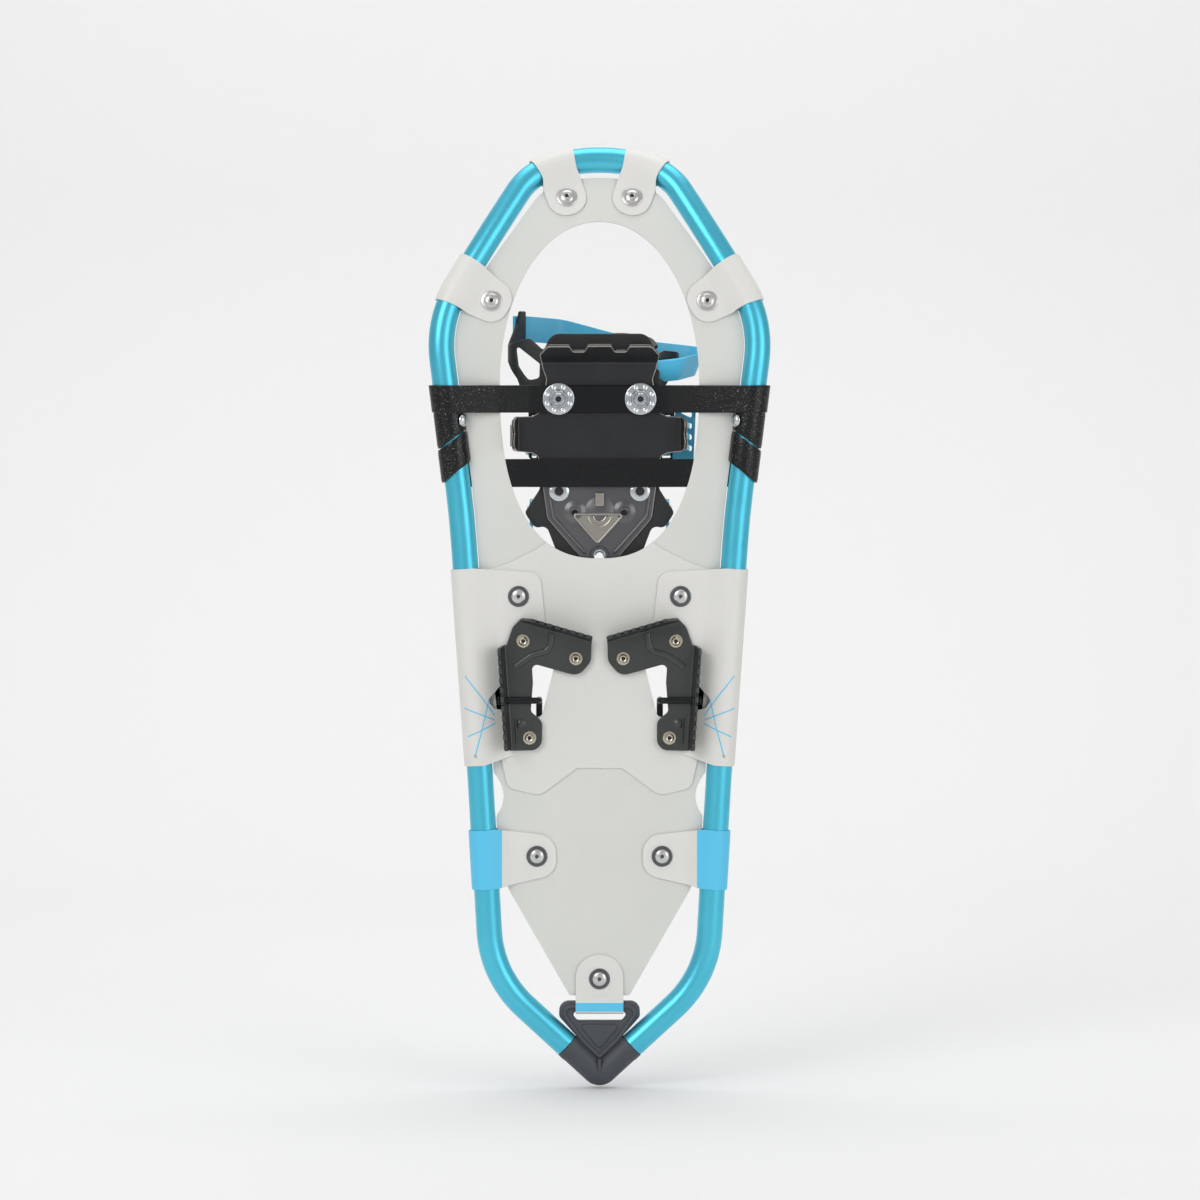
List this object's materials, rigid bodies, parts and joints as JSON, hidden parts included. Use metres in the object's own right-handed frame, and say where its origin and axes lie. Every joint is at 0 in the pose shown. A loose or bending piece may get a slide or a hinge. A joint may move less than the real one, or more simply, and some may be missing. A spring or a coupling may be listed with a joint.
{
  "type": "snowshoe",
  "caption": "Aluminium-framed snowshoe with a rolled-up toe, coated deck, heel cleats, heel lift bar and a hinged boot binding with a toothed crampon.",
  "frame": {"origin": "lowest point of the toe bend tube, on the centre plane, where a cord or hook carries the snowshoe", "axes": "+Z towards the toe, up when hung; -Y towards the snow; +Y towards the boot; +X to the right seen from the snow side"},
  "size_m": [0.2116, 0.0992, 0.584],
  "materials": {
    "anodised_tube": "light blue anodised, satin",
    "tail_cap": "moulded, matte",
    "deck": "coated sheet, light grey, satin",
    "tab": "coated sheet, off-white, satin",
    "printed_tab": "coated sheet, off-white with a blue printed band",
    "rivet": "bright",
    "zinc": "zinc plated",
    "black_steel": "black coated",
    "grey_steel": "dark grey, pressed",
    "wire": "black coated wire",
    "strap": "coated webbing, glossy with a fine speckle",
    "binding_plastic": "moulded, fine grain",
    "blue_strap": "cast urethane, satin, slightly clear"
  },
  "bodies": {
    "frame": {"frame_tube": "anodised_tube", "tail_cap": "tail_cap", "deck": "deck", "deck_doubler": "deck", "toe_tab_left": "tab", "toe_tab_right": "tab", "shoulder_tab_left": "tab", "shoulder_tab_right": "tab", "tail_side_tab_left": "printed_tab", "tail_side_tab_right": "printed_tab", "side_tab_left": "tab", "side_tab_right": "tab", "tail_tab": "tab", "toe_rivet_left": "rivet", "toe_rivet_right": "rivet", "shoulder_rivet_left": "rivet", "shoulder_rivet_right": "rivet", "side_rivet_left": "rivet", "side_rivet_right": "rivet", "tail_side_rivet_left": "rivet", "tail_side_rivet_right": "rivet", "tail_rivet": "rivet", "heel_cleat_left": "black_steel", "heel_cleat_right": "black_steel", "cleat_rivet_upper_left": "zinc", "cleat_rivet_upper_right": "zinc", "cleat_rivet_inner_left": "zinc", "cleat_rivet_inner_right": "zinc", "cleat_rivet_lower_left": "zinc", "cleat_rivet_lower_right": "zinc", "front_strap": "strap", "rear_strap": "strap", "strap_rivet_left": "zinc", "strap_rivet_right": "zinc"},
    "binding": {"toe_crampon": "black_steel", "claw_plate": "grey_steel", "binding_base": "binding_plastic", "strap_washer_left": "zinc", "strap_washer_right": "zinc", "strap_bolt_left": "zinc", "strap_bolt_right": "zinc", "plate_screw_left": "zinc", "plate_screw_right": "zinc", "plate_eyelet": "zinc", "arm_left": "binding_plastic", "arm_right": "binding_plastic", "toe_cup": "binding_plastic", "toe_strap": "blue_strap", "instep_strap": "blue_strap", "instep_buckle": "binding_plastic", "heel_pin_left": "zinc", "heel_pin_right": "zinc"},
    "heel_strap": {"heel_strap": "blue_strap"},
    "instep_lever": {"instep_lever": "binding_plastic"},
    "heel_lift_bar": {"heel_lift_bar": "wire"}
  },
  "joints": [
    {"name": "binding_pivot", "type": "hinge", "parent": "frame", "child": "binding", "pos_m": [0, -0.03192, -0.1404], "axis": [1, 0, 0], "range_deg": [0, 30], "deforming": ["front_strap"]},
    {"name": "heel_strap_pivot", "type": "hinge", "parent": "binding", "child": "heel_strap", "pos_m": [0, -0.01262, -0.211], "axis": [1, 0, 0], "range_deg": [0, 75]},
    {"name": "instep_lever_pivot", "type": "hinge", "parent": "binding", "child": "instep_lever", "pos_m": [-0.05062, -0.00528, -0.164], "axis": [0, 0, 1], "range_deg": [0, 95]},
    {"name": "heel_lift_pivot", "type": "hinge", "parent": "frame", "child": "heel_lift_bar", "pos_m": [0, -0.04132, -0.327], "axis": [1, 0, 0], "range_deg": [0, 85]}
  ]
}
